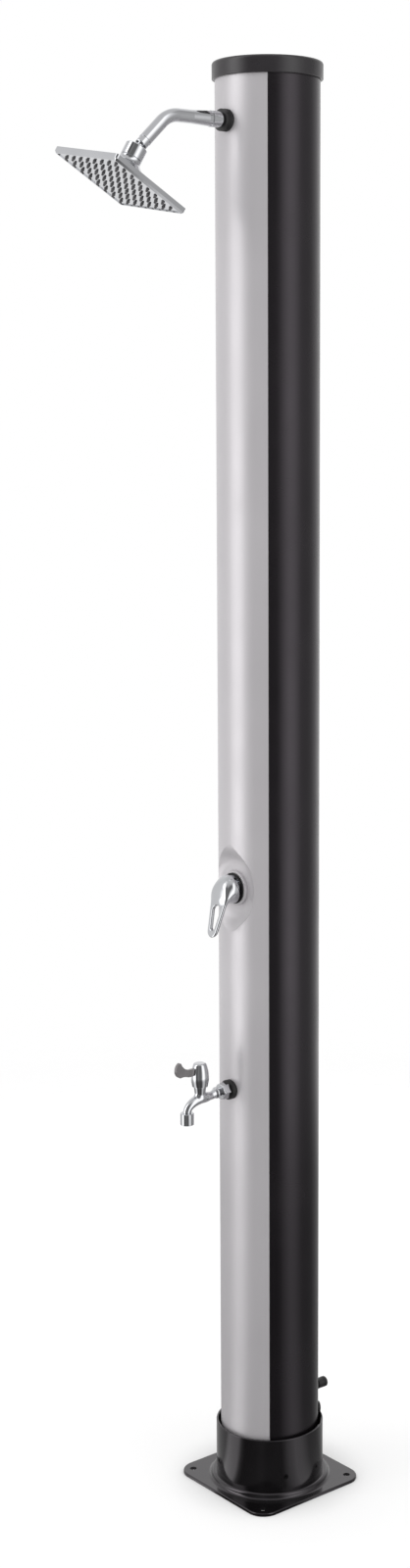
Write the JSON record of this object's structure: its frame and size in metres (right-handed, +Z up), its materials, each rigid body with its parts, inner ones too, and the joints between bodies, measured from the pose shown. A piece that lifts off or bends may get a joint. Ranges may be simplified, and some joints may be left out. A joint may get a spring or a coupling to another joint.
{
  "type": "outdoor shower post",
  "caption": "Outdoor shower post: tall round water tank on a bolted foot, with a tilting square shower head, a loop lever mixer, a foot tap and a hose inlet.",
  "frame": {"origin": "centre of the base plate's underside, on the floor, on the tank tube's axis", "axes": "+Z up the post, -Y to the front where the arm, mixer and tap are, +X to the right of the front"},
  "size_m": [0.22, 0.462, 2.262],
  "materials": {
    "powder_black": "glossy black powder coat",
    "base_steel": "glossy black powder coat",
    "black_pvc": "smooth black PVC with a soft gloss",
    "silver_panel": "satin silver",
    "cap_plastic": "moulded black",
    "inner_plastic": "moulded PVC",
    "black_rubber": "matt rubber",
    "black_nut": "moulded black",
    "chrome": "polished chrome",
    "white_acetal": "moulded acetal",
    "silicone": "grey silicone",
    "brass": "machined brass",
    "satin_ring": "satin silver",
    "ceramic": "polished ceramic",
    "pipe_plastic": "extruded polyethylene",
    "tap_grey": "satin grey",
    "fitting_plastic": "moulded black",
    "screw_steel": "blackened steel"
  },
  "bodies": {
    "post": {"aerator": "silicone", "arm_gasket": "black_rubber", "arm_ring": "chrome", "arm_ring_nut": "black_nut", "arm_socket": "chrome", "ball_stud": "chrome", "base_collar": "powder_black", "base_plate": "base_steel", "cartridge_base": "white_acetal", "cartridge_housing": "white_acetal", "cartridge_nut": "brass", "cold_riser": "pipe_plastic", "cold_upper": "pipe_plastic", "collar_screws": "screw_steel", "drain_gasket": "black_rubber", "drain_nut": "fitting_plastic", "drain_plug": "fitting_plastic", "fixed_disc": "ceramic", "front_panel": "silver_panel", "hot_pickup": "pipe_plastic", "inlet_elbow": "brass", "inlet_fitting": "fitting_plastic", "inlet_gasket": "black_rubber", "inlet_seal": "black_rubber", "mixer_body": "brass", "mixer_clamp_ring": "satin_ring", "mixer_gasket": "black_rubber", "mixer_rubber_ring": "black_rubber", "riser_elbow": "brass", "shower_arm": "chrome", "shower_riser": "pipe_plastic", "tank_foot_plug": "inner_plastic", "tank_lid": "inner_plastic", "tank_tube": "black_pvc", "tap_body": "chrome", "tap_feed": "pipe_plastic", "tap_gasket": "black_rubber", "tap_headpart": "brass", "tap_nozzle": "chrome", "tap_tee": "brass", "tap_union": "brass", "top_cap": "cap_plastic", "union_backnuts": "brass", "union_washers": "fitting_plastic"},
    "swivel_tilt": {"ball_seat": "white_acetal"},
    "swivel_side": {"ball_seal": "black_rubber"},
    "shower_head": {"swivel_nut": "chrome", "head_shell": "chrome", "face_plate": "chrome", "nozzle_mat": "silicone"},
    "mixer_carrier": {"cartridge_carrier": "white_acetal", "spindle_pin": "brass"},
    "mixer_slider": {"sliding_disc": "ceramic"},
    "mixer_lever": {"mixer_spindle": "brass", "mixer_lever": "chrome", "lever_grub_screw": "screw_steel"},
    "tap_handle": {"tap_spindle": "brass", "tap_hub": "chrome", "tap_lever": "tap_grey", "tap_grub_screw": "screw_steel"}
  },
  "joints": [
    {"name": "head_tilt", "type": "hinge", "parent": "post", "child": "swivel_tilt", "pos_m": [0, -0.25179, 2.11207], "axis": [-1, 0, 0], "range_deg": [-1.5, 39.5]},
    {"name": "head_side", "type": "hinge", "parent": "swivel_tilt", "child": "swivel_side", "pos_m": [0, -0.25179, 2.11207], "axis": [0, -0.8827, 0.4699], "range_deg": [-4.5, 19.5]},
    {"name": "head_spin", "type": "hinge", "parent": "swivel_side", "child": "shower_head", "pos_m": [0, -0.25179, 2.11207], "axis": [0.1255, 0.4674, 0.8751], "continuous": true},
    {"name": "lever_turn", "type": "hinge", "parent": "post", "child": "mixer_carrier", "pos_m": [0, -0.067, 1.003], "axis": [0, -1, 0], "range_deg": [-45, 45]},
    {"name": "lever_lift", "type": "hinge", "parent": "mixer_carrier", "child": "mixer_lever", "pos_m": [0, -0.067, 1.003], "axis": [-1, 0, 0], "range_deg": [0, 20]},
    {"name": "disc_slide", "type": "slide", "parent": "mixer_carrier", "child": "mixer_slider", "axis": [0, 0, -1], "range_m": [0, 0.0042]},
    {"name": "tap_handle_turn", "type": "hinge", "parent": "post", "child": "tap_handle", "pos_m": [0, -0.1415, 0.678], "axis": [0, 0, 1], "range_deg": [0, 90]}
  ],
  "couplings": [
    {"joint": "disc_slide", "follows": "lever_lift", "m_per_rad": 0.0115}
  ]
}
